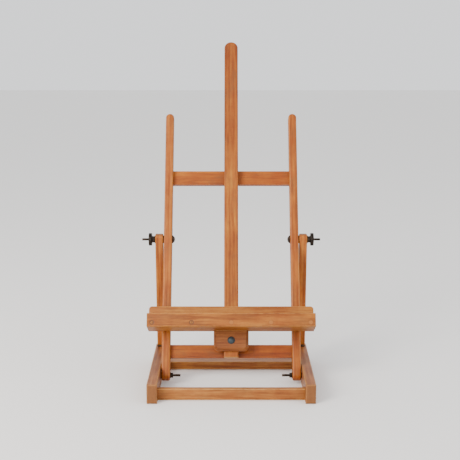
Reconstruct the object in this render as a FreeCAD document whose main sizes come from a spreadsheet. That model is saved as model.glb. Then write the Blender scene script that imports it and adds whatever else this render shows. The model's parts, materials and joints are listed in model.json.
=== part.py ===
"""Wooden table easel: a flat base, a leaning frame, a pair of rear struts and a sliding mast with a tray.

Own frame: X to the right, Y to the back, Z up, millimetres. The origin is on the floor, on the middle
plane, halfway between the front of the base and the back of the mast's top.
"""
import FreeCAD, Part
import os
import Sketcher

V = FreeCAD.Vector
doc = FreeCAD.newDocument("table_easel")

# ---------------------------------------------------------------- driving dimensions (mm and degrees)
DIMENSIONS = {
    "front_reach": 237.32,     # from the origin forward to the front ends of the base rails
    "base_half": 177.5,        # from the middle plane to the outside of a base rail
    "rail_width": 22,
    "rail_round": 4,           # of the worn front end of a rail
    "rail_height": 42,
    "rail_length": 297,
    "front_rail_set": 23.5,    # from the rail fronts back to the front cross rail
    "front_rail_deep": 12,
    "front_rail_tall": 24,
    "rear_rail_set": 227,      # from the rail fronts back to the rear cross rail
    "rear_rail_deep": 34,
    "rear_rail_tall": 18,
    "cross_rail_lift": 1,
    "tenon_length": 10,
    "pivot_set": 125,          # from the rail fronts back to the axis on which the frame leans
    "pivot_tall": 21,
    "lean": 26,                # of the frame, from upright
    "post_outer": 154,         # from the middle plane to the outside of a post
    "post_width": 19,
    "post_deep": 24,
    "post_length": 616,        # from the pivot to the top
    "post_round": 4,
    "slot_low": 240,           # centres of the slot's ends, up the post from the pivot
    "slot_high": 334,
    "slot_width": 8.8,
    "crossbar_deep": 12,
    "upper_bar_foot": 443,
    "upper_bar_tall": 33,
    "lower_bar_foot": 38.5,
    "lower_bar_tall": 29,
    "stile_width": 24,
    "stile_deep": 12.5,
    "stile_slot_width": 6.8,
    "stile_slot_low": 73,
    "stile_slot_high": 404,
    "mast_width": 32,
    "mast_deep": 16.4,
    "mast_foot": 37.5,
    "mast_top": 799,
    "slide_gap": 0.3,
    "key_width": 6.4,
    "key_deep": 9,
    "key_foot": 112,
    "key_length": 36,
    "dowel": 3,
    "dowel_length": 24,
    "tray_half": 183,
    "tray_foot": 95,           # underside of the tray, up the frame from the pivot
    "tray_deep": 63,
    "tray_floor": 17,
    "board_thick": 9,
    "lip_tall": 29.5,
    "back_board_tall": 38,
    "back_corner": 7,
    "tray_screw_rise": 8.8,
    "tray_screw_spacing": 86,
    "tray_screw_head": 4,
    "tray_screw_shank": 1.8,
    "tray_screw_length": 30,
    "bracket_width": 77,
    "bracket_drop": 44.5,
    "bracket_deep": 13,
    "bracket_corner": 11,
    "bracket_bevel": 6,
    "bracket_screw_spacing": 44,
    "plug_radius": 4.4,
    "plug_deep": 3,
    "clamp_up_post": 311,      # clamp bolts, up the post from the pivot
    "tray_bolt_up": 73,        # tray clamp bolt, up the frame from the pivot
    "bolt_radius": 3,
    "running_gap": 0.06,       # radial clearance of a hole that turns on its bolt or pin
    "clamp_head": 8.5,
    "clamp_head_tall": 4.6,
    "pivot_head": 6.6,
    "pivot_head_tall": 4,
    "washer_thick": 1.5,
    "clamp_washer": 9,
    "pivot_washer": 6.5,
    "pivot_washer_thick": 1.2,
    "nut_corner": 5.77,
    "nut_tall": 5,
    "pivot_bolt_end": 112,
    "hub_radius": 7.5,
    "hub_long": 6,
    "disc_radius": 14.5,
    "disc_long": 7.2,
    "clamp_bolt_end": 204,
    "tray_bolt_tail": 38,      # from the crossbars' front face back to the bolt's end
    "strut_gap": 2.1,          # between post and strut, where a washer rides
    "strut_width": 17.5,
    "strut_deep": 22,
    "strut_over": 12.5,        # from the clamp bolt up to the strut's top
    "strut_round": 8,          # of the strut's top, so that the tray passes it
    "strut_face": 2.2,         # from the hinge pin back to the strut's front face
    "strut_foot_rise": 1.6,    # from the hinge pin up to the strut's foot
    "hinge_set": 271,          # from the rail fronts back to the hinge pin
    "hinge_rise": 2.2,         # from the rail top up to the hinge pin
    "hinge_width": 16.5,
    "leaf_long": 19,
    "leaf_thick": 1.2,
    "knuckle": 1.9,
    "knuckle_gap": 0.3,
    "hinge_pin": 0.9,
    "hinge_screw_head": 2.4,
    "hinge_screw_shank": 1.3,
    "hinge_screw_length": 14,
    "edge": 2.2,               # softened long edges of the wood
    "small_edge": 0.8,
}

dims = doc.addObject("Spreadsheet::Sheet", "dims")
for row, (alias, value) in enumerate(DIMENSIONS.items(), start=1):
    dims.set(f"A{row}", alias)
    dims.set(f"B{row}", str(value))
    dims.setAlias(f"B{row}", alias)
doc.recompute()


def bind(thing, **expressions):
    """Bind properties to the sheet; a double underscore stands for a dot, and names are sheet aliases."""
    for name, expression in expressions.items():
        thing.setExpression(name.replace("__", "."), sheet(expression))


def sheet(expression):
    """Write an expression over the sheet's aliases the way FreeCAD reads it."""
    words = []
    word = ""
    for letter in str(expression) + " ":
        if letter.isalnum() or letter == "_" or (letter == "." and word[:1].isdigit()):
            word += letter
            continue
        words.append(f"dims.{word}" if word in DIMENSIONS else word)
        words.append(letter)
        word = ""
    return "".join(words).strip()


# ---------------------------------------------------------------- the three directions pieces are built in
# Sines and cosines of the frame's lean, and the clamp bolt seen from the hinge pin.
LEAN = "lean * 1deg"
BOLT_BACK = f"(pivot_set + clamp_up_post * sin({LEAN}) - hinge_set)"
BOLT_UP = f"(pivot_tall + clamp_up_post * cos({LEAN}) - rail_height - hinge_rise)"
BOLT_REACH = f"sqrt({BOLT_BACK} ^ 2 + {BOLT_UP} ^ 2)"
BOLT_INSET = "(strut_face + strut_deep / 2)"
STRUT_LEAN = f"(asin({BOLT_INSET} / {BOLT_REACH}) - atan({BOLT_BACK} / {BOLT_UP}))"
BOLT_ALONG = f"sqrt({BOLT_REACH} ^ 2 - {BOLT_INSET} ^ 2)"

# name: (distance back from the rail fronts, height, angle turned about X)
DIRECTIONS = {
    "base": ("0", "0", "0deg"),
    "frame": ("pivot_set", "pivot_tall", f"(0deg - {LEAN})"),
    "strut": ("hinge_set", "rail_height + hinge_rise", STRUT_LEAN),
}


subparts = []


def place(thing, direction="base", x="0", y="0", z="0"):
    """Put a finished sub-part at x, y, z of one of the three directions, turned with it."""
    subparts.append(thing)
    back, up, turn = DIRECTIONS[direction]
    thing.Placement = FreeCAD.Placement(V(0, 0, 0), FreeCAD.Rotation(V(1, 0, 0), 1))
    bind(
        thing,
        Placement__Base__x=x,
        Placement__Base__y=f"0 - front_reach + {back} + ({y}) * cos({turn}) - ({z}) * sin({turn})",
        Placement__Base__z=f"{up} + ({y}) * sin({turn}) + ({z}) * cos({turn})",
        Placement__Rotation__Angle=turn,
    )
    return thing


# ---------------------------------------------------------------- wood: sketched, padded and pocketed bodies
def new_body(label):
    body = doc.addObject("PartDesign::Body", label)
    body.Label = label
    return body


def sketch_on(body, role, name):
    """A sketch on one of the body's own origin planes."""
    sketch = body.newObject("Sketcher::SketchObject", name)
    for feature in body.Origin.OriginFeatures:
        if feature.Role == role:
            sketch.AttachmentSupport = [(feature, "")]
    sketch.MapMode = "FlatFace"
    return sketch


def datum(sketch, constraint, expression):
    """Add a dimension to a sketch and bind it to the sheet."""
    index = sketch.addConstraint(constraint)
    sketch.setExpression(f"Constraints[{index}]", sheet(expression))


def rectangle(sketch, left, low, width, height):
    """A rectangle from its lower left corner, which lies right of and above the sketch's origin."""
    first = sketch.GeometryCount
    corners = [V(1, 1, 0), V(9, 1, 0), V(9, 9, 0), V(1, 9, 0)]
    for start, end in zip(corners, corners[1:] + corners[:1]):
        sketch.addGeometry(Part.LineSegment(start, end))
    for side in range(4):
        after = first + (side + 1) % 4
        sketch.addConstraint(Sketcher.Constraint("Coincident", first + side, 2, after, 1))
        kind = "Vertical" if side % 2 else "Horizontal"
        sketch.addConstraint(Sketcher.Constraint(kind, first + side))
    datum(sketch, Sketcher.Constraint("DistanceX", first, 1, first, 2, 8.0), width)
    datum(sketch, Sketcher.Constraint("DistanceY", first + 1, 1, first + 1, 2, 8.0), height)
    locate(sketch, first, 1, left, low)


def locate(sketch, geometry, point, left, low):
    """Dimension a point from the sketch's origin, or hold it on an axis where the distance is zero."""
    for kind, distance in (("DistanceX", left), ("DistanceY", low)):
        if distance == "0":
            axis = -2 if kind == "DistanceX" else -1
            sketch.addConstraint(Sketcher.Constraint("PointOnObject", geometry, point, axis))
            continue
        datum(sketch, Sketcher.Constraint(kind, -1, 1, geometry, point, 1.0), distance)


def circle(sketch, left, low, radius):
    index = sketch.addGeometry(Part.Circle(V(5, 5, 0), V(0, 0, 1), 2))
    datum(sketch, Sketcher.Constraint("Radius", index, 2.0), radius)
    locate(sketch, index, 3, left, low)


def pad(body, sketch, length, reverse=False):
    feature = body.newObject("PartDesign::Pad", f"{sketch.Name}_pad")
    feature.Profile = sketch
    feature.Reversed = reverse
    bind(feature, Length=length)
    return feature


def pocket(body, sketch, depth, reverse=True):
    """Cut a sketch into the solid, and make sure that it really removed wood."""
    doc.recompute()
    before = body.Shape.Volume
    feature = body.newObject("PartDesign::Pocket", f"{sketch.Name}_pocket")
    feature.Profile = sketch
    feature.Reversed = reverse
    bind(feature, Length=depth)
    doc.recompute()
    if body.Shape.Volume > before - 1:
        raise RuntimeError(f"{feature.Name} cut nothing")
    return feature


def cut_slot(body, role, middle, low, high, width, depth, reverse=True):
    """Cut a round-ended slot along the second axis of a plane, between the centres of its two ends."""
    ends = sketch_on(body, role, f"{body.Label}_slot_ends")
    circle(ends, middle, low, f"{width} / 2")
    circle(ends, middle, high, f"{width} / 2")
    pocket(body, ends, depth, reverse)
    run = sketch_on(body, role, f"{body.Label}_slot_run")
    rectangle(run, f"({middle}) - {width} / 2", low, width, f"({high}) - ({low})")
    pocket(body, run, depth, reverse)


def soften(body, base, radius, chosen):
    """Round the edges of a feature for which chosen(edge) is true."""
    doc.recompute()
    names = [f"Edge{n}" for n, edge in enumerate(base.Shape.Edges, start=1) if chosen(edge)]
    feature = body.newObject("PartDesign::Fillet", f"{base.Name}_round")
    feature.Base = (base, names)
    bind(feature, Radius=radius)
    return feature


def straight_along(edge, axis, shortest=0):
    """True for a straight edge that runs along an axis and is longer than shortest."""
    if edge.Curve.TypeId != "Part::GeomLine" or edge.Length < shortest:
        return False
    return abs(abs(edge.Curve.Direction.dot(axis)) - 1) < 1e-6


def plain_board(label, width, deep, tall, radius="edge", along=V(0, 0, 1)):
    """A board whose sides are width by deep by tall, softened on its edges along one axis."""
    body = new_body(label)
    outline = sketch_on(body, "XY_Plane", f"{label}_outline")
    rectangle(outline, "0", "0", width, deep)
    block = pad(body, outline, tall)
    soften(body, block, radius, lambda edge: straight_along(edge, along))
    return body


# ---------------------------------------------------------------- metal: primitives and booleans
TURNS = {
    "x": (V(0, 1, 0), 90),
    "-x": (V(0, 1, 0), -90),
    "y": (V(1, 0, 0), -90),
    "-y": (V(1, 0, 0), 90),
    "z": (V(0, 0, 1), 0),
    "-z": (V(1, 0, 0), 180),
}


def stand(thing, axis, x, y, z):
    """Point a primitive along an axis and start it at x, y, z."""
    thing.Placement = FreeCAD.Placement(V(0, 0, 0), FreeCAD.Rotation(*TURNS[axis]))
    bind(thing, Placement__Base__x=x, Placement__Base__y=y, Placement__Base__z=z)
    return thing


def cylinder(name, radius, length, x="0", y="0", z="0", axis="x"):
    rod = stand(doc.addObject("Part::Cylinder", name), axis, x, y, z)
    bind(rod, Radius=radius, Height=length)
    return rod


def box(name, length, width, height, x, y, z):
    block = stand(doc.addObject("Part::Box", name), "z", x, y, z)
    bind(block, Length=length, Width=width, Height=height)
    return block


def joined(label, pieces):
    fused = doc.addObject("Part::MultiFuse", label)
    fused.Shapes = pieces
    return fused


def bored(label, solid, hole):
    cut = doc.addObject("Part::Cut", label)
    cut.Base = solid
    cut.Tool = hole
    return cut


def group(label, pieces):
    """Identical fasteners kept together as one sub-part of separate solids."""
    compound = doc.addObject("Part::Compound", label)
    compound.Links = pieces
    return compound


def carriage_bolt(label, head, head_tall, length, at, axis):
    """A bolt with a shallow round head whose flat side is at a point; the shank runs along the axis."""
    ball = f"(({head} ^ 2 + {head_tall} ^ 2) / (2 * {head_tall}))"
    outward = {"x": "-x", "-x": "x", "y": "-y"}[axis]
    inward = f"({ball} - {head_tall})"
    centre = dict(at)
    letter = axis[-1]
    centre[letter] = f"({at[letter]}) {'-' if axis[0] == '-' else '+'} {inward}"
    cap = stand(doc.addObject("Part::Sphere", f"{label}_head"), outward, **centre)
    bind(cap, Radius=ball, Angle1=f"asin({inward} / {ball})")
    shank = cylinder(f"{label}_shank", "bolt_radius", length, axis=axis, **at)
    return joined(label, [cap, shank])


def washer(label, radius, hole, thick, x="0", y="0", z="0", axis="x"):
    plate = cylinder(f"{label}_plate", radius, thick, x, y, z, axis)
    void = cylinder(f"{label}_void", hole, thick, x, y, z, axis)
    return bored(label, plate, void)


def knob_nut(label, at, axis):
    """A round clamp nut: a narrow hub that starts at a point, then a thin disc to grip."""
    letter = axis[-1]
    past_hub = dict(at)
    past_hub[letter] = f"({at[letter]}) {'-' if axis[0] == '-' else '+'} hub_long"
    hub = cylinder(f"{label}_hub", "hub_radius", "hub_long + 1", axis=axis, **at)
    disc = cylinder(f"{label}_disc", "disc_radius", "disc_long", axis=axis, **past_hub)
    solid = joined(f"{label}_solid", [hub, disc])
    void = cylinder(f"{label}_void", "bolt_radius + running_gap", "hub_long + disc_long", axis=axis, **at)
    return bored(label, solid, void)


def screw(name, head, shank, length, x, y, z, axis):
    """A wood screw with a flat round head; it runs from its head along the axis."""
    top = cylinder(f"{name}_head", head, f"{head} / 2", x, y, z, axis)
    rod = cylinder(f"{name}_shank", shank, length, x, y, z, axis)
    return joined(name, [top, rod])


SIDES = {"left": -1, "right": 1}


# ---------------------------------------------------------------- base: two rails and two cross rails
def base_rail(label, side):
    """A rail on the floor, bored for the pivot bolt and mortised on its inner side for the cross rails."""
    body = new_body(label)
    outline = sketch_on(body, "YZ_Plane", f"{label}_outline")
    rectangle(outline, "0", "0", "rail_length", "rail_height")
    block = pad(body, outline, "rail_width")
    front = soften(body, block, "rail_round", lambda edge: edge.CenterOfMass.y < 0.01)
    soften(body, front, "edge", lambda edge: edge.CenterOfMass.z > 41 and edge.CenterOfMass.y > 10)
    hole = sketch_on(body, "YZ_Plane", f"{label}_pivot_hole")
    circle(hole, "pivot_set", "pivot_tall", "bolt_radius")
    pocket(body, hole, "rail_width")
    mortises = sketch_on(body, "YZ_Plane", f"{label}_mortises")
    rectangle(mortises, "front_rail_set", "cross_rail_lift", "front_rail_deep", "front_rail_tall")
    rectangle(mortises, "rear_rail_set", "cross_rail_lift", "rear_rail_deep", "rear_rail_tall")
    if side < 0:
        bind(mortises, AttachmentOffset__Base__z="rail_width - tenon_length")
    pocket(body, mortises, "tenon_length")
    place(body, "base", "base_half - rail_width" if side > 0 else "0 - base_half")


def cross_rail(label, setback, deep, tall):
    """A board laid across the base, housed in the rails at both ends."""
    half = "(base_half - rail_width + tenon_length)"
    body = plain_board(label, f"2 * {half}", deep, tall, "small_edge", V(1, 0, 0))
    place(body, "base", f"0 - {half}", setback, "cross_rail_lift")


for name, side in SIDES.items():
    base_rail(f"{name}_base_rail", side)
cross_rail("front_cross_rail", "front_rail_set", "front_rail_deep", "front_rail_tall")
cross_rail("rear_cross_rail", "rear_rail_set", "rear_rail_deep", "rear_rail_tall")


# ---------------------------------------------------------------- frame pivots: bolt, washers and nut
POST_INNER = "(post_outer - post_width)"
NUT_FACE = f"({POST_INNER} - slide_gap - pivot_washer_thick)"


def pivot_nut(label, x):
    prism = stand(doc.addObject("Part::Prism", f"{label}_prism"), "x", x, "0", "0")
    prism.Polygon = 6
    bind(prism, Circumradius="nut_corner", Height="nut_tall")
    void = cylinder(f"{label}_void", "bolt_radius", "nut_tall", x)
    return bored(label, prism, void)


def pivot_washers(label, starts):
    """A pair of small washers on the pivot bolts."""
    pair = [
        washer(f"{label}_{number}", "pivot_washer", "bolt_radius", "pivot_washer_thick", x)
        for number, x in enumerate(starts, start=1)
    ]
    place(group(label, pair), "base", "0", "pivot_set", "pivot_tall")


for name, side in SIDES.items():
    head_at = {"x": f"{side} * base_half", "y": "0", "z": "0"}
    inward = "-x" if side > 0 else "x"
    length = "base_half - pivot_bolt_end"
    bolt = carriage_bolt(f"{name}_pivot_bolt", "pivot_head", "pivot_head_tall", length, head_at, inward)
    place(bolt, "base", "0", "pivot_set", "pivot_tall")
pivot_washers("pivot_spacers", ["rail_width - base_half", "base_half - rail_width - pivot_washer_thick"])
pivot_washers("pivot_washers", [f"0 - {NUT_FACE} - pivot_washer_thick", NUT_FACE])
nuts = [
    pivot_nut("left_pivot_nut", f"0 - {NUT_FACE}"),
    pivot_nut("right_pivot_nut", f"{NUT_FACE} - nut_tall"),
]
place(group("pivot_nuts", nuts), "base", "0", "pivot_set", "pivot_tall")


# ---------------------------------------------------------------- strut hinges: two leaves, a pin and screws
# A butt hinge lies between each strut's foot and the rail's top, with its knuckles along the strut's front.
STRUT_INNER = "(post_outer + strut_gap)"
STRUT_OUTER = f"({STRUT_INNER} + strut_width)"
HINGE_MIDDLE = f"({STRUT_INNER} + strut_width / 2)"
KNUCKLE_LONG = "(hinge_width / 3 - 2 * knuckle_gap)"


def knuckle_start(left, number):
    return f"{left} + {number} * hinge_width / 3 + knuckle_gap"


def hinge_leaf(label, left, low, knuckles, bore):
    """A leaf behind the pin, with its underside at low, and a root that joins each of its knuckles."""
    pieces = [box(f"{label}_plate", "hinge_width", "leaf_long - strut_face", "leaf_thick",
                  left, "strut_face", low)]
    for number in knuckles:
        start = knuckle_start(left, number)
        pieces.append(cylinder(f"{label}_knuckle_{number}", "knuckle", KNUCKLE_LONG, start))
        pieces.append(box(f"{label}_root_{number}", KNUCKLE_LONG, "strut_face + 1", "leaf_thick",
                          start, "0", low))
    void = cylinder(f"{label}_void", bore, "hinge_width", left)
    return bored(label, joined(f"{label}_solid", pieces), void)


def hinge_screw(name, x, y, z, axis):
    return screw(name, "hinge_screw_head", "hinge_screw_shank", "hinge_screw_length", x, y, z, axis)


pins = []
rail_screws = []
strut_screws = []
for name, side in SIDES.items():
    left = f"({side} * {HINGE_MIDDLE} - hinge_width / 2)"
    lower = hinge_leaf(f"{name}_hinge_lower_leaf", left, "0 - hinge_rise", (0, 2), "hinge_pin")
    place(lower, "base", "0", "hinge_set", "rail_height + hinge_rise")
    upper = hinge_leaf(f"{name}_hinge_upper_leaf", left, "strut_foot_rise - leaf_thick", (1,),
                       "hinge_pin + running_gap")
    place(upper, "strut")
    pins.append(cylinder(f"{name}_pin", "hinge_pin", "hinge_width", left))
    for number, back in enumerate(("leaf_long - 12", "leaf_long - 5")):
        middle = f"{side} * ({HINGE_MIDDLE} + {4 - 8 * number})"
        rail_screws.append(hinge_screw(f"{name}_rail_screw_{number}", middle, back,
                                       "0 - hinge_rise + leaf_thick + 0.2", "-z"))
        strut_screws.append(hinge_screw(f"{name}_strut_screw_{number}", middle, back,
                                        "strut_foot_rise - leaf_thick - 0.2", "z"))
place(group("hinge_pins", pins), "base", "0", "hinge_set", "rail_height + hinge_rise")
place(group("hinge_rail_screws", rail_screws), "base", "0", "hinge_set", "rail_height + hinge_rise")
place(group("hinge_strut_screws", strut_screws), "strut")


# ---------------------------------------------------------------- leaning frame: posts, crossbars and stile
def post(label, side):
    """An upright with a round foot on the pivot, a slot for the clamp bolt and a rounded top."""
    body = new_body(label)
    outline = sketch_on(body, "YZ_Plane", f"{label}_outline")
    outline.addGeometry(Part.ArcOfCircle(Part.Circle(V(0, 0, 0), V(0, 0, 1), 12), 3.14159265, 6.2831853))
    outline.addGeometry(Part.LineSegment(V(12, 0, 0), V(12, 600, 0)))
    outline.addGeometry(Part.LineSegment(V(12, 600, 0), V(-12, 600, 0)))
    outline.addGeometry(Part.LineSegment(V(-12, 600, 0), V(-12, 0, 0)))
    outline.addConstraint(Sketcher.Constraint("Coincident", 0, 3, -1, 1))
    outline.addConstraint(Sketcher.Constraint("Tangent", 0, 2, 1, 1))
    outline.addConstraint(Sketcher.Constraint("Coincident", 1, 2, 2, 1))
    outline.addConstraint(Sketcher.Constraint("Coincident", 2, 2, 3, 1))
    outline.addConstraint(Sketcher.Constraint("Tangent", 3, 2, 0, 1))
    outline.addConstraint(Sketcher.Constraint("Vertical", 1))
    outline.addConstraint(Sketcher.Constraint("Horizontal", 2))
    outline.addConstraint(Sketcher.Constraint("Vertical", 3))
    datum(outline, Sketcher.Constraint("Radius", 0, 12.0), "post_deep / 2")
    datum(outline, Sketcher.Constraint("DistanceY", -1, 1, 1, 2, 600.0), "post_length")
    block = pad(body, outline, "post_width")
    crown = soften(body, block, "post_width / 2 - 0.05",
                   lambda edge: edge.CenterOfMass.z > 600 and straight_along(edge, V(0, 1, 0)))
    soften(body, crown, "post_round", lambda edge: straight_along(edge, V(0, 0, 1), 300))
    hole = sketch_on(body, "YZ_Plane", f"{label}_pivot_hole")
    circle(hole, "0", "0", "bolt_radius + running_gap")
    pocket(body, hole, "post_width")
    cut_slot(body, "YZ_Plane", "0", "slot_low", "slot_high", "slot_width", "post_width")
    mortises = sketch_on(body, "YZ_Plane", f"{label}_mortises")
    rectangle(mortises, "0", "lower_bar_foot", "crossbar_deep", "lower_bar_tall")
    rectangle(mortises, "0", "upper_bar_foot", "crossbar_deep", "upper_bar_tall")
    if side < 0:
        bind(mortises, AttachmentOffset__Base__z="post_width - tenon_length")
    pocket(body, mortises, "tenon_length")
    place(body, "frame", POST_INNER if side > 0 else "0 - post_outer")


def crossbar(label, foot, tall):
    """A board between the posts, flush with their backs and housed in them."""
    half = f"({POST_INNER} + tenon_length)"
    body = plain_board(label, f"2 * {half}", "crossbar_deep", tall, "small_edge", V(1, 0, 0))
    place(body, "frame", f"0 - {half}", "0", foot)


def guide_stile():
    """The slotted upright behind the mast, in which the mast's key and bolt slide."""
    label = "guide_stile"
    low = "(lower_bar_foot + lower_bar_tall)"
    body = new_body(label)
    outline = sketch_on(body, "XZ_Plane", f"{label}_outline")
    rectangle(outline, "0", "0", "stile_width", f"upper_bar_foot - {low}")
    block = pad(body, outline, "stile_deep", reverse=True)
    soften(body, block, "small_edge", lambda edge: straight_along(edge, V(0, 0, 1)))
    cut_slot(body, "XZ_Plane", "stile_width / 2", f"stile_slot_low - {low}", f"stile_slot_high - {low}",
             "stile_slot_width", "stile_deep", reverse=False)
    place(body, "frame", "0 - stile_width / 2", "0", low)


for name, side in SIDES.items():
    post(f"{name}_post", side)
crossbar("lower_crossbar", "lower_bar_foot", "lower_bar_tall")
crossbar("upper_crossbar", "upper_bar_foot", "upper_bar_tall")
guide_stile()
dowels = []
for name, joint in (("lower", "lower_bar_foot + lower_bar_tall"), ("upper", "upper_bar_foot")):
    for side in (-1, 1):
        dowels.append(cylinder(f"{name}_dowel_{side + 1}", "dowel", "dowel_length",
                               f"{side} * stile_width / 3.4", "crossbar_deep / 2",
                               f"{joint} - dowel_length / 2", "z"))
place(group("stile_dowels", dowels), "frame")


# ---------------------------------------------------------------- rear struts and their clamps
def rear_strut(label, side):
    """A strut that stands on the rail's hinge and carries the clamp bolt near its top."""
    body = new_body(label)
    outline = sketch_on(body, "YZ_Plane", f"{label}_outline")
    rectangle(outline, "0", "0", "strut_deep", f"{BOLT_ALONG} + strut_over - strut_foot_rise")
    block = pad(body, outline, "strut_width")
    crown = soften(body, block, "strut_round",
                   lambda edge: edge.CenterOfMass.z > 200 and straight_along(edge, V(1, 0, 0)))
    soften(body, crown, "edge", lambda edge: straight_along(edge, V(0, 0, 1), 200))
    hole = sketch_on(body, "YZ_Plane", f"{label}_bolt_hole")
    circle(hole, "strut_deep / 2", f"{BOLT_ALONG} - strut_foot_rise", "bolt_radius")
    pocket(body, hole, "strut_width")
    place(body, "strut", STRUT_INNER if side > 0 else f"0 - {STRUT_OUTER}", "strut_face", "strut_foot_rise")


def clamp_washers(label, thick, x):
    """One washer on each clamp bolt, starting at x on the right side and mirrored on the left."""
    pair = [
        washer(f"{label}_right", "clamp_washer", "bolt_radius", thick, x),
        washer(f"{label}_left", "clamp_washer", "bolt_radius", thick, f"0 - ({x}) - ({thick})"),
    ]
    place(group(label, pair), "strut", "0", BOLT_INSET, BOLT_ALONG)


HEAD_FACE = f"({POST_INNER} - slide_gap - washer_thick)"
for name, side in SIDES.items():
    outward = "x" if side > 0 else "-x"
    rear_strut(f"{name}_rear_strut", side)
    head_at = {"x": f"{side} * {HEAD_FACE}", "y": "0", "z": "0"}
    bolt = carriage_bolt(f"{name}_clamp_bolt", "clamp_head", "clamp_head_tall",
                         f"clamp_bolt_end - {HEAD_FACE}", head_at, outward)
    place(bolt, "strut", "0", BOLT_INSET, BOLT_ALONG)
    hub_at = {"x": f"{side} * ({STRUT_OUTER} + washer_thick + slide_gap)", "y": "0", "z": "0"}
    place(knob_nut(f"{name}_knob", hub_at, outward), "strut", "0", BOLT_INSET, BOLT_ALONG)
clamp_washers("clamp_head_washers", "washer_thick", HEAD_FACE)
clamp_washers("clamp_gap_washers", "(strut_gap - slide_gap)", f"{STRUT_INNER} - (strut_gap - slide_gap)")
clamp_washers("clamp_knob_washers", "washer_thick", STRUT_OUTER)


# ---------------------------------------------------------------- mast, which slides on the guide stile
MAST_FRONT = "(slide_gap + mast_deep)"


def mast():
    """The long centre upright with a rounded top, bored for the tray's bolt."""
    body = new_body("mast")
    outline = sketch_on(body, "XZ_Plane", "mast_outline")
    rectangle(outline, "0", "0", "mast_width", "mast_top - mast_foot")
    block = pad(body, outline, "mast_deep", reverse=True)
    crown = soften(body, block, "mast_width / 2 - 0.05",
                   lambda edge: edge.CenterOfMass.z > 700 and straight_along(edge, V(0, 1, 0)))
    soften(body, crown, "edge", lambda edge: straight_along(edge, V(0, 0, 1), 300))
    hole = sketch_on(body, "XZ_Plane", "mast_bolt_hole")
    circle(hole, "mast_width / 2", "tray_bolt_up - mast_foot", "bolt_radius")
    pocket(body, hole, "mast_deep", reverse=False)
    place(body, "frame", "0 - mast_width / 2", f"0 - {MAST_FRONT}", "mast_foot")


mast()
key = plain_board("mast_key", "key_width", "key_deep", "key_length", "small_edge")
place(key, "frame", "0 - key_width / 2", "0 - slide_gap", "key_foot")
BOLT_FACE = f"({MAST_FRONT} + slide_gap + bracket_deep + slide_gap)"
bolt = carriage_bolt("tray_clamp_bolt", "clamp_head", "clamp_head_tall", f"{BOLT_FACE} + tray_bolt_tail",
                     {"x": "0", "y": f"0 - {BOLT_FACE}", "z": "0"}, "y")
place(bolt, "frame", "0", "0", "tray_bolt_up")
plate = washer("tray_knob_washer", "clamp_washer", "bolt_radius", "washer_thick",
               y="stile_deep + slide_gap", axis="y")
place(plate, "frame", "0", "0", "tray_bolt_up")
knob = knob_nut("tray_knob", {"x": "0", "y": "stile_deep + washer_thick + 2 * slide_gap", "z": "0"}, "y")
place(knob, "frame", "0", "0", "tray_bolt_up")


# ---------------------------------------------------------------- tray, which swivels on the mast's bolt
TRAY_BACK = f"({MAST_FRONT} + slide_gap)"
TRAY_FRONT = f"({TRAY_BACK} + tray_deep)"
FLOOR_TOP = "(tray_foot + tray_floor)"


def tray_bracket():
    """The plate under the tray that the bolt passes through, with round and bevelled lower edges."""
    body = new_body("tray_bracket")
    outline = sketch_on(body, "XZ_Plane", "bracket_outline")
    rectangle(outline, "0", "0", "bracket_width", "bracket_drop")
    block = pad(body, outline, "bracket_deep", reverse=True)
    corners = soften(body, block, "bracket_corner",
                     lambda edge: edge.CenterOfMass.z < 1 and straight_along(edge, V(0, 1, 0)))
    doc.recompute()
    names = [
        f"Edge{number}"
        for number, edge in enumerate(corners.Shape.Edges, start=1)
        if edge.CenterOfMass.y < 0.01 and edge.CenterOfMass.z < 6
    ]
    bevel = body.newObject("PartDesign::Chamfer", "bracket_bevel")
    bevel.Base = (corners, names)
    bind(bevel, Size="bracket_bevel")
    hole = sketch_on(body, "XZ_Plane", "bracket_bolt_hole")
    circle(hole, "bracket_width / 2", "bracket_drop + tray_bolt_up - tray_foot", "bolt_radius + running_gap")
    pocket(body, hole, "bracket_deep", reverse=False)
    place(body, "frame", "0 - bracket_width / 2", f"0 - {TRAY_BACK} - bracket_deep",
          "tray_foot - bracket_drop")


def tray_boards():
    """The floor, the lip screwed to its front edge and the back board standing on its rear edge."""
    whole = "2 * tray_half"
    floor_deep = "tray_deep - board_thick"
    along = V(1, 0, 0)
    floor = plain_board("tray_floor_board", whole, floor_deep, "tray_floor", "small_edge", along)
    place(floor, "frame", "0 - tray_half", f"board_thick - {TRAY_FRONT}", "tray_foot")
    lip = plain_board("tray_lip", whole, "board_thick", "lip_tall", "edge", along)
    place(lip, "frame", "0 - tray_half", f"0 - {TRAY_FRONT}", "tray_foot")
    back = new_body("tray_back_board")
    outline = sketch_on(back, "XZ_Plane", "back_board_outline")
    rectangle(outline, "0", "0", whole, "back_board_tall")
    block = pad(back, outline, "board_thick", reverse=True)
    corners = soften(back, block, "back_corner",
                     lambda edge: edge.CenterOfMass.z > 20 and straight_along(edge, V(0, 1, 0)))
    soften(back, corners, "edge", lambda edge: edge.CenterOfMass.z > 30 and straight_along(edge, along))
    place(back, "frame", "0 - tray_half", f"0 - {TRAY_BACK} - board_thick", FLOOR_TOP)


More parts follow.
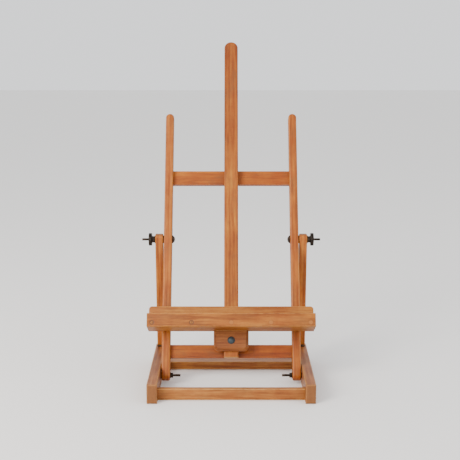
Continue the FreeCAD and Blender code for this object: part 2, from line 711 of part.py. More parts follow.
def tray_fasteners():
    """Screws through the lip, three of them under wooden plugs, and screws up and down through the floor."""
    rise = "tray_foot + tray_screw_rise"
    sizes = ("tray_screw_head", "tray_screw_shank", "tray_screw_length")
    lip_screws = []
    plugs = []
    for number in range(5):
        x = f"{number - 2} * tray_screw_spacing"
        sunk = number >= 2
        start = f"0.6 + plug_deep - {TRAY_FRONT}" if sunk else f"0 - {TRAY_FRONT} - 0.4"
        lip_screws.append(screw(f"lip_screw_{number}", *sizes, x, start, rise, "y"))
        if sunk:
            plugs.append(cylinder(f"lip_plug_{number}", "plug_radius", "plug_deep + 0.2", x,
                                  f"0 - {TRAY_FRONT} - 0.2", rise, "y"))
    place(group("lip_screws", lip_screws), "frame")
    place(group("lip_plugs", plugs), "frame")
    middle = f"0 - {TRAY_BACK} - board_thick / 2"
    back_screws = [
        screw(f"back_screw_{number}", *sizes, f"{number - 1} * 1.7 * tray_screw_spacing", middle,
              "tray_foot - 0.3", "z")
        for number in (0, 2)
    ]
    place(group("back_board_screws", back_screws), "frame")
    bracket_screws = [
        screw(f"bracket_screw_{number}", *sizes, f"{number} * bracket_screw_spacing / 2",
              f"0 - {TRAY_BACK} - bracket_deep / 2", f"{FLOOR_TOP} - 3", "-z")
        for number in (-1, 1)
    ]
    place(group("bracket_screws", bracket_screws), "frame")


tray_bracket()
tray_boards()
tray_fasteners()


# ---------------------------------------------------------------- check and write the sub-parts
doc.recompute()
faulty = [thing.Name for thing in doc.Objects if {"Invalid", "Error"} & set(thing.State)]
for thing in subparts:
    if thing.Shape.isNull() or not thing.Shape.isValid():
        faulty.append(thing.Label)
if faulty:
    raise RuntimeError(f"these did not rebuild: {faulty}")
os.makedirs("parts", exist_ok=True)
for thing in subparts:
    thing.Shape.exportStep(f"parts/{thing.Label}.step")
print(len(subparts), "sub-parts written")
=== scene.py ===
import json
import math

import bpy
from mathutils import Matrix, Vector


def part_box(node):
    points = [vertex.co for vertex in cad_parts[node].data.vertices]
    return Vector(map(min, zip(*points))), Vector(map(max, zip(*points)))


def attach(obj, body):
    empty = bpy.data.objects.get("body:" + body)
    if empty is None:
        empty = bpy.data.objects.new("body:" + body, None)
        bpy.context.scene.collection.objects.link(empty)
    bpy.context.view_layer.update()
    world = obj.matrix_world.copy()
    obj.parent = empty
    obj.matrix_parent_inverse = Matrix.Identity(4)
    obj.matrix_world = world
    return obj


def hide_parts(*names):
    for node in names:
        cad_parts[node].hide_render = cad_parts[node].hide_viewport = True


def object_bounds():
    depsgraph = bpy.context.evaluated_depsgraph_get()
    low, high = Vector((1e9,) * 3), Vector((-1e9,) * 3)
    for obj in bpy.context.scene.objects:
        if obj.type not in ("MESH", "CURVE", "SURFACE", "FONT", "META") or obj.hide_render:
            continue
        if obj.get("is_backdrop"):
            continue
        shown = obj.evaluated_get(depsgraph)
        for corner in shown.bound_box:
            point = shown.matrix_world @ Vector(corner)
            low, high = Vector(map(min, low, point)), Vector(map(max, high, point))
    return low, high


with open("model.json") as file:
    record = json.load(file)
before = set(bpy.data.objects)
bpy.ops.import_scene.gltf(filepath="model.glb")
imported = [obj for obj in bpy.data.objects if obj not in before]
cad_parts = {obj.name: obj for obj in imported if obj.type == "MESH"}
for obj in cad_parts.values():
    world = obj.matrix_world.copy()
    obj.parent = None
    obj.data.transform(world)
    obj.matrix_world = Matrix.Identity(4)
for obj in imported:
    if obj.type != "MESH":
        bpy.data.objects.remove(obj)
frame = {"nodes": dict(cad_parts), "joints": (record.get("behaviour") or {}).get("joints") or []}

cad_low, cad_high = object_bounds()
joints = {joint["name"]: joint for joint in frame["joints"]}
bpy.ops.object.select_all(action="DESELECT")

# ---------------------------------------------------------------- base rails and cross rails
# The flat base: two rails on the floor and two boards housed between them. Beech with an old, thin varnish,
# rubbed pale on the tops and arrises, where the paleness is also a painted highlight for the light they
# catch, and duller on the end grain at the front.


def linear(code):
    """An sRGB hex colour as the linear colour that a shader socket takes."""
    channels = [int(code[place:place + 2], 16) / 255 for place in (1, 3, 5)]
    return [c / 12.92 if c <= 0.04045 else ((c + 0.055) / 1.055) ** 2.4 for c in channels] + [1]


def add(tree, kind, inputs, out=0, stops=(), **settings):
    """Add a shader node and give back one of its outputs, or all of them if out is None.

    An input is a value or the output that feeds it; stops are a ramp's places and hex colours.
    """
    made = tree.nodes.new(f"ShaderNode{kind}")
    for name, value in settings.items():
        setattr(made, name, value)
    for _ in stops[2:]:
        made.color_ramp.elements.new(0.5)
    for number, (place, code) in enumerate(stops):
        made.color_ramp.elements[number].position = place
        made.color_ramp.elements[number].color = linear(code)
    for name, value in inputs.items():
        if isinstance(value, bpy.types.NodeSocket):
            tree.links.new(value, made.inputs[name])
        else:
            made.inputs[name].default_value = value
    return made.outputs if out is None else made.outputs[out]


def board_place(name, turn):
    """Centre and half sizes of a board along its own directions, turned about X by an angle."""
    back = Matrix.Rotation(-turn, 3, "X")
    points = [back @ vertex.co for vertex in frame["nodes"][name].data.vertices]
    low = Vector([min(point[axis] for point in points) for axis in range(3)])
    high = Vector([max(point[axis] for point in points) for axis in range(3)])
    return Matrix.Rotation(turn, 3, "X") @ ((low + high) / 2), (high - low) / 2


def beech(name, turn, along, tones, worn_and_highlit, end, number, wear=0.0026, aged=0.0, rings=()):
    """Old varnished beech for one board: tones are its dark, middle and light hex colours.

    Beech is close-grained, with faint growth rings, short fine fibres and a broad, uneven tan from its
    varnish. Arrises are paler, partly from rubbing and partly as a painted highlight for the light that
    rounded edges catch, and end grain is duller; both are found from the distance to the board's edges.
    aged deepens the far end, and rings are where dirt has gathered round a screw or a plug.
    """
    centre, half = board_place(name, turn)
    material = bpy.data.materials.new(f"varnished_beech_{name}")
    material.use_nodes = True
    tree = material.node_tree
    shader = tree.nodes["Principled BSDF"]
    place = add(tree, "TexCoord", {}, out="Object")
    local = add(tree, "Mapping", {"Vector": place, "Location": centre, "Rotation": (turn, 0, 0)},
                vector_type="TEXTURE")
    split = add(tree, "SeparateXYZ", {0: local}, out=None)
    order = {"X": (1, 2, 0), "Y": (0, 2, 1), "Z": (0, 1, 2)}[along]
    across, deep, length = (split[axis] for axis in order)
    across = add(tree, "Math", {0: across, 1: 0.31 * number}, operation="ADD")

    # Growth rings about 9 mm apart, round a pith some 70 mm outside the board, wandering along its length.
    far = add(tree, "Math", {0: deep, 1: 0.07 - 0.011 * (number % 3)}, operation="ADD")
    slow = add(tree, "Math", {0: length, 1: 0.09, 2: 0.53 * number}, operation="MULTIPLY_ADD")
    round_pith = add(tree, "CombineXYZ", {0: across, 1: far, 2: slow})
    year = add(tree, "TexWave", {"Vector": round_pith, "Scale": 0.314 / 0.009, "Distortion": 9.0,
                                 "Detail": 3.0, "Detail Scale": 0.3, "Detail Roughness": 0.6}, out="Fac",
               wave_type="RINGS", rings_direction="Z", wave_profile="SIN")

    # Bands 16 mm wide, streaks 4 mm wide and fibres under 1 mm wide, drawn out along the grain.
    banded = add(tree, "Math", {0: length, 1: 0.11}, operation="MULTIPLY")
    band_place = add(tree, "CombineXYZ", {0: across, 1: deep, 2: banded})
    bands = add(tree, "TexNoise", {"Vector": band_place, "Scale": 1 / 0.016, "Detail": 2.0, "Roughness": 0.5,
                                   "Distortion": 0.8}, out="Fac")
    drawn = add(tree, "Math", {0: length, 1: 0.045}, operation="MULTIPLY")
    grain_place = add(tree, "CombineXYZ", {0: across, 1: deep, 2: drawn})
    streaks = add(tree, "TexNoise", {"Vector": grain_place, "Scale": 1 / 0.004, "Detail": 3.0,
                                     "Roughness": 0.6, "Distortion": 0.5}, out="Fac")
    fibres = add(tree, "TexNoise", {"Vector": grain_place, "Scale": 1 / 0.0009, "Detail": 2.0,
                                    "Roughness": 0.7}, out="Fac")
    figure = add(tree, "Math", {0: year, 1: 0.10}, operation="MULTIPLY")
    for part, share in ((bands, 0.45), (streaks, 0.45), (fibres, 0.20)):
        figure = add(tree, "Math", {0: part, 1: share, 2: figure}, operation="MULTIPLY_ADD")
    figure = add(tree, "MapRange", {0: figure, 1: 0.46, 2: 0.75, 3: 0.0, 4: 1.0})
    colour = add(tree, "ValToRGB", {"Fac": figure}, stops=list(zip((0.0, 0.5, 1.0), tones)))

    # The lowest streaks hold old varnish and read as dark lines about 2 mm wide.
    lines = add(tree, "MapRange", {0: streaks, 1: 0.43, 2: 0.31, 3: 0.0, 4: 0.4})
    colour = add(tree, "Mix", {0: lines, 6: colour, 7: linear("#70411C")}, out=2, data_type="RGBA")

    # Beech flecks: thin dark dashes, here 1 mm by 6 mm so that they show.
    dashed = add(tree, "Math", {0: length, 1: 0.16}, operation="MULTIPLY")
    fleck_place = add(tree, "CombineXYZ", {0: across, 1: deep, 2: dashed})
    flecks = add(tree, "TexVoronoi", {"Vector": fleck_place, "Scale": 1 / 0.0016, "Randomness": 1.0},
                 out="Distance", feature="F1")
    flecks = add(tree, "MapRange", {0: flecks, 1: 0.30, 2: 0.12, 3: 0.0, 4: 0.22})
    colour = add(tree, "Mix", {0: flecks, 6: colour, 7: linear("#5A3014")}, out=2,
                 data_type="RGBA", blend_type="MULTIPLY")

    # Old varnish tans in patches about 70 mm across, and more towards an end that stands in the light.
    patches = add(tree, "TexNoise", {"Vector": local, "Scale": 1 / 0.07, "Detail": 4.0, "Roughness": 0.65},
                  out="Fac")
    patches = add(tree, "MapRange", {0: patches, 1: 0.38, 2: 0.66, 3: 0.0, 4: 0.5})
    colour = add(tree, "Mix", {0: patches, 6: colour, 7: linear("#C98550")}, out=2,
                 data_type="RGBA", blend_type="MULTIPLY")
    if aged:
        upper = add(tree, "MapRange", {0: length, 1: 0.0, 2: max(half) * 0.9, 3: 0.0, 4: aged})
        colour = add(tree, "Mix", {0: upper, 6: colour, 7: linear("#B4683E")}, out=2,
                     data_type="RGBA", blend_type="MULTIPLY")

    # Handling has left blotches of dirt some 25 mm across, stretched along the grain.
    smear = add(tree, "Math", {0: length, 1: 0.4, 2: 0.7 * number}, operation="MULTIPLY_ADD")
    smear_place = add(tree, "CombineXYZ", {0: across, 1: deep, 2: smear})
    smears = add(tree, "TexNoise", {"Vector": smear_place, "Scale": 1 / 0.025, "Detail": 5.0,
                                    "Roughness": 0.7}, out="Fac")
    smears = add(tree, "MapRange", {0: smears, 1: 0.52, 2: 0.72, 3: 0.0, 4: 0.65})
    colour = add(tree, "Mix", {0: smears, 6: colour, 7: linear("#6E4220")}, out=2, data_type="RGBA")

    # The two nearest pairs of faces give the distance to the nearest arris.
    inside = add(tree, "VectorMath", {0: local}, operation="ABSOLUTE")
    inside = add(tree, "VectorMath", {0: half, 1: inside}, operation="SUBTRACT")
    gaps = add(tree, "SeparateXYZ", {0: inside}, out=None)
    lesser = add(tree, "Math", {0: gaps[0], 1: gaps[1]}, operation="MINIMUM")
    greater = add(tree, "Math", {0: gaps[0], 1: gaps[1]}, operation="MAXIMUM")
    third = add(tree, "Math", {0: greater, 1: gaps[2]}, operation="MINIMUM")
    arris = add(tree, "Math", {0: lesser, 1: third}, operation="MAXIMUM")
    ragged = add(tree, "TexNoise", {"Vector": local, "Scale": 1 / 0.012, "Detail": 4.0, "Roughness": 0.7},
                 out="Fac")
    arris = add(tree, "Math", {0: ragged, 1: 0.004, 2: arris}, operation="MULTIPLY_ADD")
    # The pale band along the arrises stands for rubbed varnish and is also a painted highlight, for the light
    # that rounded edges catch.
    rubbed_and_highlit = add(tree, "MapRange", {0: arris, 1: 0.0018 + wear, 2: 0.0012 + wear * 0.3, 3: 0.0, 4: 0.7},
                 interpolation_type="SMOOTHSTEP")
    colour = add(tree, "Mix", {0: rubbed_and_highlit, 6: colour, 7: linear(worn_and_highlit)}, out=2, data_type="RGBA")
    ends = add(tree, "MapRange", {0: gaps[order[2]], 1: 0.0022, 2: 0.0, 3: 0.0, 4: 0.85})
    colour = add(tree, "Mix", {0: ends, 6: colour, 7: linear(end)}, out=2, data_type="RGBA")

    # Small dents and scuffs, 3 mm across, hold dirt, and so does the rim of each hole in rings.
    scuffs = add(tree, "TexVoronoi", {"Vector": local, "Scale": 1 / 0.024, "Randomness": 1.0},
                 out="Distance", feature="F1")
    scuffs = add(tree, "MapRange", {0: scuffs, 1: 0.075, 2: 0.045, 3: 0.0, 4: 0.4})
    for point, radius, depth in rings:
        own = Matrix.Rotation(-turn, 3, "X") @ (point - centre)
        offset = add(tree, "VectorMath", {0: local, 1: own}, operation="SUBTRACT")
        flat = add(tree, "VectorMath", {0: offset, 1: (1, 0, 1)}, operation="MULTIPLY")
        away = add(tree, "VectorMath", {0: flat}, out="Value", operation="LENGTH")
        rim = add(tree, "MapRange", {0: away, 1: radius + 0.0016, 2: radius, 3: 0.0, 4: depth})
        scuffs = add(tree, "Math", {0: scuffs, 1: rim}, operation="MAXIMUM")
    colour = add(tree, "Mix", {0: scuffs, 6: colour, 7: linear("#5A351C")}, out=2, data_type="RGBA")
    tree.links.new(colour, shader.inputs["Base Color"])

    rough = add(tree, "Math", {0: fibres, 1: 0.14, 2: 0.38}, operation="MULTIPLY_ADD")
    rough = add(tree, "Math", {0: rubbed_and_highlit, 1: 0.16, 2: rough}, operation="MULTIPLY_ADD")
    tree.links.new(rough, shader.inputs["Roughness"])
    height = add(tree, "Math", {0: streaks, 1: 0.5, 2: fibres}, operation="MULTIPLY_ADD")
    height = add(tree, "Math", {0: scuffs, 1: -1.6, 2: height}, operation="MULTIPLY_ADD")
    bump = add(tree, "Bump", {"Height": height, "Strength": 0.35, "Distance": 0.00035})
    tree.links.new(bump, shader.inputs["Normal"])
    shader.inputs["IOR"].default_value = 1.42
    shader.inputs["Specular IOR Level"].default_value = 0.35
    shader.inputs["Coat Weight"].default_value = 0.05
    shader.inputs["Coat Roughness"].default_value = 0.3
    return material


def finish_board(name, *look, **more):
    """Give a CAD board its own varnished beech."""
    solid = frame["nodes"][name]
    solid.data.materials.clear()
    solid.data.materials.append(beech(name, *look, **more))


rail_tones = ("#6F3D18", "#8B5629", "#A16C3B")
for number, name in enumerate(("left_base_rail", "right_base_rail")):
    finish_board(name, 0, "Y", rail_tones, "#AF7F49", "#764924", number + 1, wear=0.0035)
for number, name in enumerate(("front_cross_rail", "rear_cross_rail")):
    finish_board(name, 0, "X", ("#7B4416", "#9D6328", "#B67F3F"), "#C18F52", "#835325", number + 3)

# ---------------------------------------------------------------- leaning frame: posts, crossbars and stile
# Two slotted uprights pivot on the base, tied by two boards let into them and a slotted stile at the middle.
# Honey-brown beech, a shade redder on the boards, with generously rounded arrises that catch the light.
slide = Vector(joints["mast_slide"]["axis"])
lean = -math.atan2(slide.y, slide.z)
post_tones = ("#803E08", "#9D5616", "#AE6C22")
bar_tones = ("#773605", "#954B05", "#A75F0D")
for number, name in enumerate(("left_post", "right_post", "guide_stile")):
    finish_board(name, lean, "Z", post_tones, "#BC792F", "#894E17", number + 5, wear=0.003)
for number, name in enumerate(("lower_crossbar", "upper_crossbar")):
    finish_board(name, lean, "X", bar_tones, "#A96416", "#804007", number + 8, wear=0.0008)

# ---------------------------------------------------------------- rear struts
# Two straight struts stand on hinges at the back of the rails and carry the clamp bolts near their tops.
# The same beech as the posts, with duller end grain on top.
hinge_at = Vector(joints["strut_fold"]["pos_m"])
clamp_at = Vector(joints["right_knob_turn"]["pos_m"])
reach = clamp_at.yz - hinge_at.yz
hinge_offset = 0.0132  # from the strut's middle line to its hinge pin
strut_lean = math.asin(hinge_offset / reach.length) - math.atan2(reach.x, reach.y)
for number, name in enumerate(("left_rear_strut", "right_rear_strut")):
    finish_board(name, strut_lean, "Z", post_tones, "#B4752D", "#794615", number + 10)

# ---------------------------------------------------------------- mast
# The long centre upright, a thin board with a round top, which slides with the tray. Beech, a little redder
# and darker than the posts towards the top, with a bare key glued to its back.
finish_board("mast", lean, "Z", ("#7D3D07", "#9C5713", "#AD6F1F"), "#B37927", "#A46D21", 12,
             wear=0.0012, aged=0.4)
finish_board("mast_key", lean, "Z", ("#9F6D27", "#C18E3A", "#D3A44B"), "#D8AE54", "#A87C32", 13)

# ---------------------------------------------------------------- tray: floor, lip, back board and bracket
# An open-ended trough of three boards on a bevelled plate. Beech with the most handling: darker, stained
# boards whose rounded top edges are rubbed pale, the paleness also a painted highlight, and dirt round the
# screws and plugs of the lip.
frame_back = Vector((0, slide.z, -slide.y))


def solid_starts(node, direction):
    """Where each solid of a node starts along a direction: the centre of its first face, left to right."""
    groups = []
    same_solid = 0.012
    for vertex in frame["nodes"][node].data.vertices:
        flat = vertex.co - direction * vertex.co.dot(direction)
        near = [group for group in groups if (group[0] - flat).length < same_solid]
        if near:
            near[0][1].append(vertex.co)
        else:
            groups.append((flat, [vertex.co]))
    starts = []
    for flat, members in groups:
        first = min(member.dot(direction) for member in members)
        face = [member for member in members if member.dot(direction) < first + 1e-5]
        middle = [(min(p[axis] for p in face) + max(p[axis] for p in face)) / 2 for axis in range(3)]
        starts.append(Vector(middle))
    return sorted(starts, key=lambda start: start.x)


tray_tones = ("#7B410F", "#9D5F1E", "#AF752C")
lip_holes = solid_starts("lip_screws", frame_back)
lip_rings = [(point, 0.0046, 0.9 if number < 2 else 0.4) for number, point in enumerate(lip_holes)]
for number, name in enumerate(("tray_floor_board", "tray_lip", "tray_back_board")):
    finish_board(name, lean, "X", tray_tones, "#B87D35", "#794717", number + 14, wear=0.0026,
                 rings=lip_rings if name == "tray_lip" else ())
finish_board("tray_bracket", lean, "X", ("#69350F", "#885120", "#996230"), "#A06F3D", "#754622", 18)

# ---------------------------------------------------------------- plugs and dowels
# Turned beech pins that fill the screw holes of the lip and pin the stile. Varnished with the boards, a shade
# paler because they show end grain.
finish_board("lip_plugs", lean, "Y", ("#8A5020", "#9C6028", "#A86C30"), "#9C6028", "#9C6028", 20, wear=0.0)
finish_board("stile_dowels", lean, "Z", ("#9F6D27", "#C18E3A", "#D3A44B"), "#C18E3A", "#C18E3A", 21, wear=0.0)

# ---------------------------------------------------------------- washers and hinges
# Stamped steel, oil-blackened: nearly black, with brown bloom where the blacking has gone thin and bright
# steel where it is rubbed.


def blackened_steel(name, dark="#1D1A18", brown="#4A3A2E", rough=0.42, bright="#6E6258"):
    """Oil-blackened mild steel: metallic, dark, with soft patches of brown about 4 mm across."""
    material = bpy.data.materials.new(name)
    material.use_nodes = True
    tree = material.node_tree
    shader = tree.nodes["Principled BSDF"]
    place = add(tree, "TexCoord", {}, out="Object")
    bloom = add(tree, "TexNoise", {"Vector": place, "Scale": 1 / 0.004, "Detail": 5.0, "Roughness": 0.65},
                out="Fac")
    grit = add(tree, "TexNoise", {"Vector": place, "Scale": 1 / 0.0006, "Detail": 2.0, "Roughness": 0.6},
               out="Fac")
    colour = add(tree, "ValToRGB", {"Fac": bloom}, stops=[(0.38, dark), (0.6, brown), (0.78, bright)])
    tree.links.new(colour, shader.inputs["Base Color"])
    dull = add(tree, "Math", {0: bloom, 1: 0.3, 2: rough - 0.12}, operation="MULTIPLY_ADD")
    tree.links.new(dull, shader.inputs["Roughness"])
    bump = add(tree, "Bump", {"Height": grit, "Strength": 0.3, "Distance": 0.0001})
    tree.links.new(bump, shader.inputs["Normal"])
    shader.inputs["Metallic"].default_value = 0.9
    return material


steel = blackened_steel("oil_blackened_steel")
hinge_steel = blackened_steel("aged_hinge_steel", "#2A221C", "#5C4432", 0.5)
for name in ("pivot_spacers", "pivot_washers", "clamp_head_washers", "clamp_gap_washers",
             "clamp_knob_washers", "tray_knob_washer"):
    frame["nodes"][name].data.materials.clear()
    frame["nodes"][name].data.materials.append(steel)
for name in ("left_hinge_lower_leaf", "right_hinge_lower_leaf", "left_hinge_upper_leaf",
             "right_hinge_upper_leaf", "hinge_pins"):
    frame["nodes"][name].data.materials.clear()
    frame["nodes"][name].data.materials.append(hinge_steel)

# ---------------------------------------------------------------- carriage bolts
# Forged bolts with a shallow round head and a rolled 6 mm thread along the shank. Oil-blackened steel, but
# for the tray's bolt, whose zinc plating has dulled to a bluish grey.


def only(thing):
    """Make an object the only one that is selected, and active."""
    bpy.ops.object.select_all(action="DESELECT")
    thing.select_set(True)
    bpy.context.view_layer.objects.active = thing


def applied(thing, kind, **settings):
    """Add a modifier to an object and apply it."""
    only(thing)
    modifier = thing.modifiers.new(kind.title(), kind)
    for name, value in settings.items():
        setattr(modifier, name, value)
    bpy.ops.object.modifier_apply(modifier=modifier.name)


def joined(name, things):
    """Join objects into one, with its place in its mesh."""
    bpy.ops.object.select_all(action="DESELECT")
    for thing in things:
        thing.select_set(True)
    bpy.context.view_layer.objects.active = things[0]
    if len(things) > 1:
        bpy.ops.object.join()
    whole = bpy.context.view_layer.objects.active
    bpy.ops.object.transform_apply(location=True, rotation=True, scale=True)
    whole.name = name
    whole.data.name = name
    return whole


def settled(thing, start, direction):
    """Turn a piece made along +Z to lie along a direction from a point, and keep the place in its mesh."""
    thing.data.transform(Vector(direction).to_track_quat("Z", "Y").to_matrix().to_4x4())
    thing.data.transform(Matrix.Translation(start))
    only(thing)
    bpy.ops.object.shade_smooth_by_angle(angle=math.radians(35))
    return thing


def copied(thing):
    """A copy of a piece with a mesh of its own."""
    twin = thing.copy()
    twin.data = thing.data.copy()
    bpy.context.scene.collection.objects.link(twin)
    return twin


def thread_and_core(length, radius, threaded):
    """A shank up +Z from the origin, with a helical ridge on its last stretch and a chamfered tip."""
    pitch = 0.00125
    depth = 0.0005
    plain = length - threaded
    bpy.ops.mesh.primitive_cylinder_add(vertices=32, radius=radius - depth, depth=length,
                                        location=(0, 0, length / 2))
    core = bpy.context.object
    bpy.ops.object.transform_apply(location=True, rotation=False, scale=False)
    applied(core, "BEVEL", width=0.0004, segments=2, limit_method="ANGLE", angle_limit=math.radians(40))
    bpy.ops.mesh.primitive_cylinder_add(vertices=32, radius=radius, depth=plain, location=(0, 0, plain / 2))
    shank = bpy.context.object
    bpy.ops.object.transform_apply(location=True, rotation=False, scale=False)
    applied(shank, "BEVEL", width=0.0003, segments=2, limit_method="ANGLE", angle_limit=math.radians(40))
    bpy.ops.mesh.primitive_circle_add(vertices=3, radius=depth * 1.1, rotation=(math.pi / 2, math.pi / 2, 0),
                                      location=(radius - depth * 1.15, 0, plain))
    ridge = bpy.context.object
    bpy.ops.object.transform_apply(location=True, rotation=True, scale=True)
    turns = int(threaded / pitch) - 1
    applied(ridge, "SCREW", angle=2 * math.pi, screw_offset=pitch, iterations=turns, steps=20,
            render_steps=20, axis="Z", use_merge_vertices=True)
    bpy.ops.object.mode_set(mode="EDIT")
    bpy.ops.mesh.select_all(action="SELECT")
    bpy.ops.mesh.remove_doubles(threshold=1e-6)
    bpy.ops.mesh.fill_holes(sides=6)
    bpy.ops.mesh.normals_make_consistent(inside=False)
    bpy.ops.object.mode_set(mode="OBJECT")
    return [core, shank, ridge]


def round_head(radius, tall):
    """A shallow forged dome below the origin's plane, with a thin rounded rim."""
    ball = (radius ** 2 + tall ** 2) / (2 * tall)
    bpy.ops.mesh.primitive_uv_sphere_add(segments=48, ring_count=48, radius=ball,
                                         location=(0, 0, ball - tall))
    head = bpy.context.object
    bpy.ops.object.transform_apply(location=True, rotation=False, scale=False)
    bpy.ops.object.mode_set(mode="EDIT")
    bpy.ops.mesh.select_all(action="SELECT")
    bpy.ops.mesh.bisect(plane_co=(0, 0, -0.0002), plane_no=(0, 0, 1), use_fill=True, clear_outer=True)
    bpy.ops.object.mode_set(mode="OBJECT")
    applied(head, "BEVEL", width=0.00035, segments=3, limit_method="ANGLE", angle_limit=math.radians(40))
    return head


def carriage_bolt(length, threaded, head_radius, head_tall):
    """A bolt up +Z from under its head, threaded on its last stretch."""
    pieces = thread_and_core(length, 0.003, threaded)
    pieces.append(round_head(head_radius, head_tall))
    return joined("bolt", pieces)


def fitted(pattern, node, body, start, direction, finish):
    """A copy of a bolt or nut in place of the CAD one, from a point along a direction."""
    piece = settled(copied(pattern), start, direction)
    piece.name = f"{node}_steel"
    piece.data.name = f"{node}_steel"
    piece.data.materials.clear()
    piece.data.materials.append(finish)
    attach(piece, body)
    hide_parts(node)


pivot_at = Vector(joints["frame_tilt"]["pos_m"])
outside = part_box("right_base_rail")[1].x
pivot_bolt = carriage_bolt(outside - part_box("right_pivot_bolt")[0].x, threaded=0.038, head_radius=0.0066,
                           head_tall=0.004)
clamp_head_tall = 0.0046
low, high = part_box("right_clamp_bolt")
inside = low.x + clamp_head_tall
clamp_bolt = carriage_bolt(high.x - inside, threaded=0.036, head_radius=0.0085, head_tall=clamp_head_tall)
for side, hand in ((-1, "left"), (1, "right")):
    fitted(pivot_bolt, f"{hand}_pivot_bolt", "base", (side * outside, pivot_at.y, pivot_at.z),
           (-side, 0, 0), steel)
    fitted(clamp_bolt, f"{hand}_clamp_bolt", "rear_struts", (side * inside, clamp_at.y, clamp_at.z),
           (side, 0, 0), steel)
tray_bolt_at = Vector(joints["tray_swivel"]["pos_m"])
bolt_points = [(vertex.co - tray_bolt_at).dot(frame_back) for vertex in
               frame["nodes"]["tray_clamp_bolt"].data.vertices]
head_face = min(bolt_points) + clamp_head_tall
tray_bolt = carriage_bolt(max(bolt_points) - head_face, threaded=0.03, head_radius=0.0085,
                          head_tall=clamp_head_tall)
zinc_steel = blackened_steel("dulled_zinc_steel", "#3C4448", "#4A5358", 0.62, "#646C70")
fitted(tray_bolt, "tray_clamp_bolt", "mast", tray_bolt_at + frame_back * head_face, frame_back, zinc_steel)
for pattern in (pivot_bolt, clamp_bolt, tray_bolt):
    bpy.data.objects.remove(pattern)

# ---------------------------------------------------------------- pivot nuts
# Plain hexagon nuts on the pivot bolts, cold-formed, with chamfered corners. Oil-blackened steel.
nut_low, nut_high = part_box("pivot_nuts")
nut_tall = 0.005
bpy.ops.mesh.primitive_cylinder_add(vertices=6, radius=0.00577, depth=nut_tall, location=(0, 0, nut_tall / 2))
hexagon = bpy.context.object
bpy.ops.mesh.primitive_cone_add(vertices=64, radius1=0.0100, radius2=0.0048, depth=0.006,
                                location=(0, 0, nut_tall - 0.003))
chamfer = bpy.context.object
applied(hexagon, "BOOLEAN", operation="INTERSECT", object=chamfer, solver="EXACT")
bpy.data.objects.remove(chamfer)
left_nut = joined("pivot_nut", [hexagon])
applied(left_nut, "BEVEL", width=0.00018, segments=2, limit_method="ANGLE", angle_limit=math.radians(35))
right_nut = copied(left_nut)
settled(left_nut, (-abs(nut_low.x) + nut_tall, pivot_at.y, pivot_at.z), (-1, 0, 0))
settled(right_nut, (abs(nut_high.x) - nut_tall, pivot_at.y, pivot_at.z), (1, 0, 0))
both = joined("pivot_nuts_steel", [left_nut, right_nut])
both.data.materials.clear()
both.data.materials.append(steel)
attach(both, "base")
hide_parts("pivot_nuts")

# ---------------------------------------------------------------- clamp nuts
# Round turned nuts with a narrow hub and a coarsely knurled disc to grip by hand. Oil-blackened steel, rubbed
# bright on the knurl.
knob_steel = blackened_steel("rubbed_black_steel", "#211E1C", "#3E342C", 0.38)


def clamp_nut():
    """A hub and a knurled, dished disc, made up +Z from the hub's face."""
    hub_long = 0.006
    disc_long = 0.0072
    disc_radius = 0.0145
    sides = 120
    bpy.ops.mesh.primitive_cylinder_add(vertices=48, radius=0.0075, depth=hub_long + 0.001,
                                        location=(0, 0, hub_long / 2 + 0.0005))
    hub = bpy.context.object
    bpy.ops.object.transform_apply(location=True, rotation=False, scale=False)
    applied(hub, "BEVEL", width=0.0006, segments=3, limit_method="ANGLE", angle_limit=math.radians(40))
    bpy.ops.mesh.primitive_cylinder_add(vertices=sides, radius=disc_radius, depth=disc_long,
                                        location=(0, 0, hub_long + disc_long / 2))
    disc = bpy.context.object
    bpy.ops.object.transform_apply(location=True, rotation=False, scale=False)
    applied(disc, "BEVEL", width=0.0009, segments=3, limit_method="ANGLE", angle_limit=math.radians(40))
    only(disc)
    bpy.ops.object.mode_set(mode="EDIT")
    bpy.ops.mesh.select_mode(type="FACE")
    bpy.ops.mesh.select_all(action="DESELECT")
    bpy.ops.object.mode_set(mode="OBJECT")
    for face in disc.data.polygons:
        spoke = round(math.atan2(face.center.y, face.center.x) / (2 * math.pi) * sides - 0.5)
        face.select = abs(face.normal.z) < 0.1 and spoke % 3 == 0
    bpy.ops.object.mode_set(mode="EDIT")
    bpy.ops.mesh.inset(thickness=0.00012, depth=-0.0007, use_individual=True)
    bpy.ops.mesh.select_all(action="DESELECT")
    bpy.ops.object.mode_set(mode="OBJECT")
    for face in disc.data.polygons:
        face.select = face.normal.z > 0.9 and face.area > 1e-5
    bpy.ops.object.mode_set(mode="EDIT")
    bpy.ops.mesh.inset(thickness=0.0022)
    bpy.ops.mesh.inset(thickness=0.0007, depth=-0.0007)
    bpy.ops.object.mode_set(mode="OBJECT")
    return joined("nut", [disc, hub])


nut = clamp_nut()
for side, name in ((-1, "left_knob"), (1, "right_knob")):
    low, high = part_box(name)
    fitted(nut, name, name, (high.x if side < 0 else low.x, clamp_at.y, clamp_at.z), (side, 0, 0), knob_steel)
knob_start = min((vertex.co - tray_bolt_at).dot(frame_back) for vertex in
                 frame["nodes"]["tray_knob"].data.vertices)
fitted(nut, "tray_knob", "tray_knob", tray_bolt_at + frame_back * knob_start, frame_back, knob_steel)
bpy.data.objects.remove(nut)

# ---------------------------------------------------------------- wood screws
# Slotted round-head screws through the lip and the tray's boards. Steel, tarnished brown and rubbed lighter
# on the crown. The hinges' screws keep their own plain heads and take the same steel.
screw_steel = blackened_steel("tarnished_screw_steel", "#8C5A30", "#A4703E", 0.62, "#B88650")


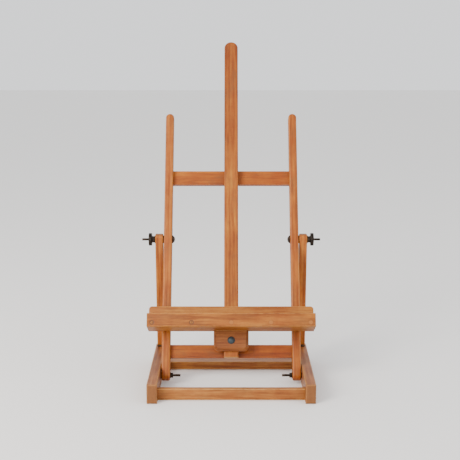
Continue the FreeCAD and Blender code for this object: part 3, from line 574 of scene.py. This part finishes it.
def slotted_screws(node, body, direction, radius, tall, turns):
    """Round slotted heads with tapered shanks in place of a node's screws, one for each of its solids."""
    direction = Vector(direction).normalized()
    bpy.ops.mesh.primitive_uv_sphere_add(segments=32, ring_count=24, radius=1, location=(0, 0, 0))
    head = bpy.context.object
    head.scale = (radius, radius, tall)
    bpy.ops.object.transform_apply(location=False, rotation=False, scale=True)
    bpy.ops.object.mode_set(mode="EDIT")
    bpy.ops.mesh.select_all(action="SELECT")
    bpy.ops.mesh.bisect(plane_co=(0, 0, 0.0001), plane_no=(0, 0, 1), use_fill=True, clear_outer=True)
    bpy.ops.object.mode_set(mode="OBJECT")
    bpy.ops.mesh.primitive_cube_add(size=1, location=(0, 0, -tall))
    cutter = bpy.context.object
    cutter.scale = (radius * 2.4, radius * 0.24, tall * 1.1)
    applied(head, "BOOLEAN", operation="DIFFERENCE", object=cutter, solver="EXACT")
    bpy.data.objects.remove(cutter)
    bpy.ops.mesh.primitive_cone_add(vertices=20, radius1=radius * 0.45, radius2=0.0003, depth=0.012,
                                    location=(0, 0, 0.006))
    first = joined("screw", [head, bpy.context.object])
    screws = []
    for number, start in enumerate(solid_starts(node, direction)):
        screw = copied(first)
        screw.data.transform(Matrix.Rotation(turns[number % len(turns)], 4, "Z"))
        screws.append(settled(screw, start + direction * tall, direction))
    bpy.data.objects.remove(first)
    group = joined(f"{node}_slotted", screws)
    group.data.materials.clear()
    group.data.materials.append(screw_steel)
    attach(group, body)
    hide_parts(node)


slotted_screws("lip_screws", "tray", frame_back, 0.0038, 0.0011, [0.5, 1.9, 1.2])
slotted_screws("back_board_screws", "tray", slide, 0.004, 0.001, [0.3, 2.0])
slotted_screws("bracket_screws", "tray", -slide, 0.004, 0.001, [0.9, 1.6])
for name in ("hinge_rail_screws", "hinge_strut_screws"):
    frame["nodes"][name].data.materials.clear()
    frame["nodes"][name].data.materials.append(screw_steel)

# ---------------------------------------------------------------- floor, light and camera
# A plain pale floor under soft window light from the front left, seen from about the height of the mast's
# top.
bpy.ops.mesh.primitive_plane_add(size=30, location=(0, 0, cad_low.z - 0.0002))
floor = bpy.context.object
floor.name = "floor"
bpy.ops.object.mode_set(mode="EDIT")
bpy.ops.mesh.subdivide(number_cuts=3)
bpy.ops.object.mode_set(mode="OBJECT")
floor_paint = bpy.data.materials.new("matt_white_floor_paint")
floor_paint.use_nodes = True
floor_shader = floor_paint.node_tree.nodes["Principled BSDF"]
floor_shader.inputs["Base Color"].default_value = linear("#EFEDEA")
floor_shader.inputs["Roughness"].default_value = 0.75
floor.data.materials.append(floor_paint)
floor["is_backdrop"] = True

world = bpy.data.worlds.new("pale_room")
bpy.context.scene.world = world
world.use_nodes = True
world.node_tree.nodes["Background"].inputs["Color"].default_value = linear("#EAEBED")
world.node_tree.nodes["Background"].inputs["Strength"].default_value = 1.6


def soft_light(name, place, size, power, colour):
    """A square area light that faces the middle of the easel."""
    data = bpy.data.lights.new(name, "AREA")
    data.shape = "SQUARE"
    data.size = size
    data.energy = power
    data.color = linear(colour)[:3]
    light = bpy.data.objects.new(name, data)
    bpy.context.scene.collection.objects.link(light)
    light.location = place
    light.rotation_euler = (Vector((0, 0, 0.3)) - Vector(place)).to_track_quat("-Z", "Y").to_euler()


soft_light("window", (-1.9, -2.1, 1.7), 1.4, 120, "#FFF8F0")
soft_light("bounce", (2.4, -1.2, 1.4), 2.4, 20, "#F4F6FF")

rail_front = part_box("left_base_rail")[0].y
camera_data = bpy.data.cameras.new("camera")
camera_data.sensor_width = 36
camera_data.lens = 78.0
camera = bpy.data.objects.new("camera", camera_data)
bpy.context.scene.collection.objects.link(camera)
camera.location = (-0.0027, rail_front - 1.983, 0.7354)
camera.rotation_euler = (math.radians(90 - 10.43), 0, 0)
bpy.context.scene.camera = camera

low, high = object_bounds()
